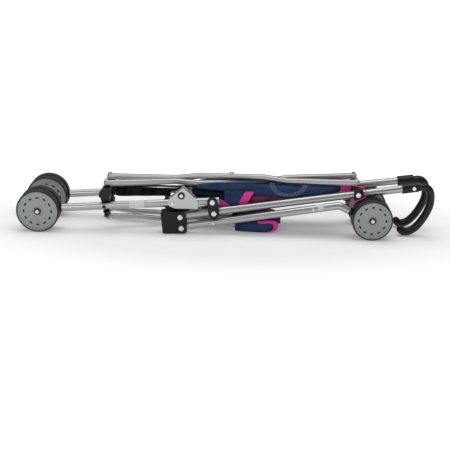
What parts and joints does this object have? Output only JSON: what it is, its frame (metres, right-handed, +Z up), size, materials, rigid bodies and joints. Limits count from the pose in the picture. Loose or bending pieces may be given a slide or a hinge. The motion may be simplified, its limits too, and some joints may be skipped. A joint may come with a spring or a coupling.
{
  "type": "pet stroller",
  "caption": "Folded umbrella-style stroller frame lying down, twin wheels on each leg, hooked grips, crossed braces and bundled fabric.",
  "frame": {"origin": "centre of the folded stroller's footprint, on the floor it lies on", "axes": "+X from the rear wheels towards the hooked grips, +Z up from the floor, +Y across the frame"},
  "size_m": [1.035, 0.1844, 0.1433],
  "materials": {
    "tube_alloy": "satin",
    "brace_alloy": "satin",
    "bright_steel": "polished",
    "plate_steel": "satin",
    "black_plastic": "matt",
    "grip_black": "satin",
    "wheel_grey": "satin",
    "tyre_black": "matt",
    "navy_fabric": "woven",
    "black_fabric": "woven"
  },
  "bodies": {
    "near_axle": {"near_rear_axle": "bright_steel"},
    "near_leg": {"near_rear_leg": "tube_alloy", "near_rear_knuckle": "black_plastic", "near_leg_plate": "plate_steel", "near_plate_screws": "bright_steel", "near_plate_bush": "black_plastic"},
    "near_rear_wheels": {"near_rear_wheel_discs": "wheel_grey", "near_rear_wheel_tyres": "tyre_black"},
    "near_link": {"near_link": "black_plastic", "near_link_screws": "bright_steel"},
    "near_handle": {"near_handle_tube": "tube_alloy", "near_handle_clamp": "black_plastic", "near_handle_screws": "bright_steel", "near_grip": "grip_black", "seat_fabric": "navy_fabric"},
    "near_block": {"near_fold_block": "black_plastic", "near_block_screws": "bright_steel"},
    "near_front_leg": {"near_front_leg": "tube_alloy", "near_brace_lug": "black_plastic", "near_leg_screws": "bright_steel", "foot_pad": "navy_fabric"},
    "near_caster": {"near_caster": "black_plastic", "near_front_axle": "bright_steel"},
    "near_front_wheels": {"near_front_wheel_discs": "wheel_grey", "near_front_wheel_tyres": "tyre_black"},
    "near_upper_clevis": {"near_upper_clevis": "black_plastic"},
    "near_lower_clevis": {"near_lower_clevis": "black_plastic"},
    "near_top_brace": {"near_top_brace": "brace_alloy", "near_top_rivets": "bright_steel"},
    "near_low_brace": {"near_low_brace": "brace_alloy", "near_low_rivets": "bright_steel"},
    "far_leg": {"far_rear_leg": "tube_alloy", "far_rear_knuckle": "black_plastic", "far_rear_axle": "bright_steel", "seat_strap": "black_fabric"},
    "far_rear_wheels": {"far_rear_wheel_discs": "wheel_grey", "far_rear_wheel_tyres": "tyre_black"},
    "far_link": {"far_link": "black_plastic", "far_link_screws": "bright_steel"},
    "far_handle": {"far_handle_tube": "tube_alloy", "far_handle_clamp": "black_plastic", "far_handle_screws": "bright_steel", "far_grip": "grip_black"},
    "far_block": {"far_fold_block": "black_plastic", "far_block_screws": "bright_steel"},
    "far_front_leg": {"far_front_leg": "tube_alloy", "far_brace_lug": "black_plastic", "far_leg_screws": "bright_steel"},
    "far_caster": {"far_caster": "black_plastic", "far_front_axle": "bright_steel"},
    "far_front_wheels": {"far_front_wheel_discs": "wheel_grey", "far_front_wheel_tyres": "tyre_black"},
    "far_upper_clevis": {"far_upper_clevis": "black_plastic"},
    "far_lower_clevis": {"far_lower_clevis": "black_plastic"},
    "far_top_brace": {"far_top_brace": "brace_alloy", "far_top_rivets": "bright_steel"},
    "far_low_brace": {"far_low_brace": "brace_alloy", "far_low_rivets": "bright_steel"}
  },
  "joints": [
    {"name": "unfold", "type": "hinge", "parent": "near_axle", "child": "near_leg", "pos_m": [-0.4643, -0.0624, 0.053], "axis": [0, -1, 0], "range_deg": [0, 64]},
    {"name": "near_rear_wheels_spin", "type": "hinge", "parent": "near_axle", "child": "near_rear_wheels", "pos_m": [-0.4643, -0.0624, 0.053], "axis": [0, 1, 0], "continuous": true},
    {"name": "near_link_turn", "type": "hinge", "parent": "near_leg", "child": "near_link", "pos_m": [-0.0346, -0.0624, 0.0845], "axis": [0, -1, 0], "range_deg": [0, 13.69]},
    {"name": "near_handle_turn", "type": "hinge", "parent": "near_link", "child": "near_handle", "pos_m": [-0.0303, -0.0624, 0.0561], "axis": [0, -1, 0], "range_deg": [0, 13.69]},
    {"name": "near_block_turn", "type": "hinge", "parent": "near_handle", "child": "near_block", "pos_m": [-0.1136, -0.0624, 0.0443], "axis": [0, -1, 0], "range_deg": [-66.95, 0]},
    {"name": "near_front_leg_turn", "type": "hinge", "parent": "near_block", "child": "near_front_leg", "pos_m": [-0.1104, -0.0624, 0.016], "axis": [0, -1, 0], "range_deg": [-66.95, 0]},
    {"name": "near_caster_swivel", "type": "hinge", "parent": "near_front_leg", "child": "near_caster", "pos_m": [0.30425, -0.05939, 0.06944], "axis": [0.9026, 0, -0.4305], "range_deg": [-15, 2]},
    {"name": "near_front_wheels_spin", "type": "hinge", "parent": "near_caster", "child": "near_front_wheels", "pos_m": [0.3609, -0.05939, 0.0505], "axis": [0, 1, 0], "continuous": true},
    {"name": "near_upper_clevis_tilt", "type": "hinge", "parent": "near_leg", "child": "near_upper_clevis", "pos_m": [-0.3018, -0.0624, 0.0649], "axis": [0, -1, 0], "range_deg": [0, 15.64]},
    {"name": "near_lower_clevis_tilt", "type": "hinge", "parent": "near_leg", "child": "near_lower_clevis", "pos_m": [-0.3018, -0.0624, 0.0649], "axis": [0, -1, 0], "range_deg": [-45.59, 0]},
    {"name": "top_brace_swing", "type": "hinge", "parent": "near_upper_clevis", "child": "near_top_brace", "pos_m": [-0.2992, -0.03325, 0.1152], "axis": [-0.0293, 0, 0.9996], "range_deg": [0, 10.79]},
    {"name": "top_brace_cross", "type": "hinge", "parent": "near_top_brace", "child": "far_top_brace", "pos_m": [0.01125, 0, 0.1243], "axis": [-0.0293, 0, 0.9996], "range_deg": [-21.57, 0]},
    {"name": "low_brace_swing", "type": "hinge", "parent": "near_lower_clevis", "child": "near_low_brace", "pos_m": [-0.2974, -0.03325, 0.03], "axis": [0.0406, 0, 0.9992], "range_deg": [0, 21.97]},
    {"name": "low_brace_cross", "type": "hinge", "parent": "near_low_brace", "child": "far_low_brace", "pos_m": [-0.13735, 0, 0.0235], "axis": [0.0406, 0, 0.9992], "range_deg": [-43.93, 0]},
    {"name": "frame_spread", "type": "slide", "parent": "near_handle", "child": "far_handle", "axis": [0, 1, 0], "range_m": [0, 0.11498]},
    {"name": "far_link_turn", "type": "hinge", "parent": "far_handle", "child": "far_link", "pos_m": [-0.0303, 0.0624, 0.0561], "axis": [0, -1, 0], "range_deg": [-13.69, 0]},
    {"name": "far_leg_turn", "type": "hinge", "parent": "far_link", "child": "far_leg", "pos_m": [-0.0346, 0.0624, 0.0845], "axis": [0, -1, 0], "range_deg": [-13.69, 0]},
    {"name": "far_rear_wheels_spin", "type": "hinge", "parent": "far_leg", "child": "far_rear_wheels", "pos_m": [-0.4643, 0.0624, 0.053], "axis": [0, 1, 0], "continuous": true},
    {"name": "far_block_turn", "type": "hinge", "parent": "far_handle", "child": "far_block", "pos_m": [-0.1136, 0.0624, 0.0443], "axis": [0, -1, 0], "range_deg": [-66.95, 0]},
    {"name": "far_front_leg_turn", "type": "hinge", "parent": "far_block", "child": "far_front_leg", "pos_m": [-0.1104, 0.0624, 0.016], "axis": [0, -1, 0], "range_deg": [-66.95, 0]},
    {"name": "far_caster_swivel", "type": "hinge", "parent": "far_front_leg", "child": "far_caster", "pos_m": [0.30425, 0.05939, 0.06944], "axis": [0.9026, 0, -0.4305], "range_deg": [-2, 15]},
    {"name": "far_front_wheels_spin", "type": "hinge", "parent": "far_caster", "child": "far_front_wheels", "pos_m": [0.3609, 0.05939, 0.0505], "axis": [0, 1, 0], "continuous": true},
    {"name": "far_upper_clevis_tilt", "type": "hinge", "parent": "far_leg", "child": "far_upper_clevis", "pos_m": [-0.3018, 0.0624, 0.0649], "axis": [0, -1, 0], "range_deg": [0, 15.64]},
    {"name": "far_lower_clevis_tilt", "type": "hinge", "parent": "far_leg", "child": "far_lower_clevis", "pos_m": [-0.3018, 0.0624, 0.0649], "axis": [0, -1, 0], "range_deg": [-45.59, 0]}
  ],
  "couplings": [
    {"joint": "near_link_turn", "follows": "unfold", "ratio": 0.21367},
    {"joint": "near_handle_turn", "follows": "unfold", "ratio": 0.21367},
    {"joint": "near_block_turn", "follows": "unfold", "ratio": -1.046},
    {"joint": "near_front_leg_turn", "follows": "unfold", "ratio": -1.046},
    {"joint": "near_upper_clevis_tilt", "follows": "unfold", "ratio": 0.24422},
    {"joint": "near_lower_clevis_tilt", "follows": "unfold", "ratio": -0.71219},
    {"joint": "top_brace_swing", "follows": "unfold", "ratio": 0.16844},
    {"joint": "top_brace_cross", "follows": "unfold", "ratio": -0.33687},
    {"joint": "low_brace_swing", "follows": "unfold", "ratio": 0.34313},
    {"joint": "low_brace_cross", "follows": "unfold", "ratio": -0.68625},
    {"joint": "frame_spread", "follows": "unfold", "m_per_rad": 0.10292},
    {"joint": "far_link_turn", "follows": "unfold", "ratio": -0.21367},
    {"joint": "far_leg_turn", "follows": "unfold", "ratio": -0.21367},
    {"joint": "far_block_turn", "follows": "unfold", "ratio": -1.046},
    {"joint": "far_front_leg_turn", "follows": "unfold", "ratio": -1.046},
    {"joint": "far_upper_clevis_tilt", "follows": "unfold", "ratio": 0.24422},
    {"joint": "far_lower_clevis_tilt", "follows": "unfold", "ratio": -0.71219}
  ]
}
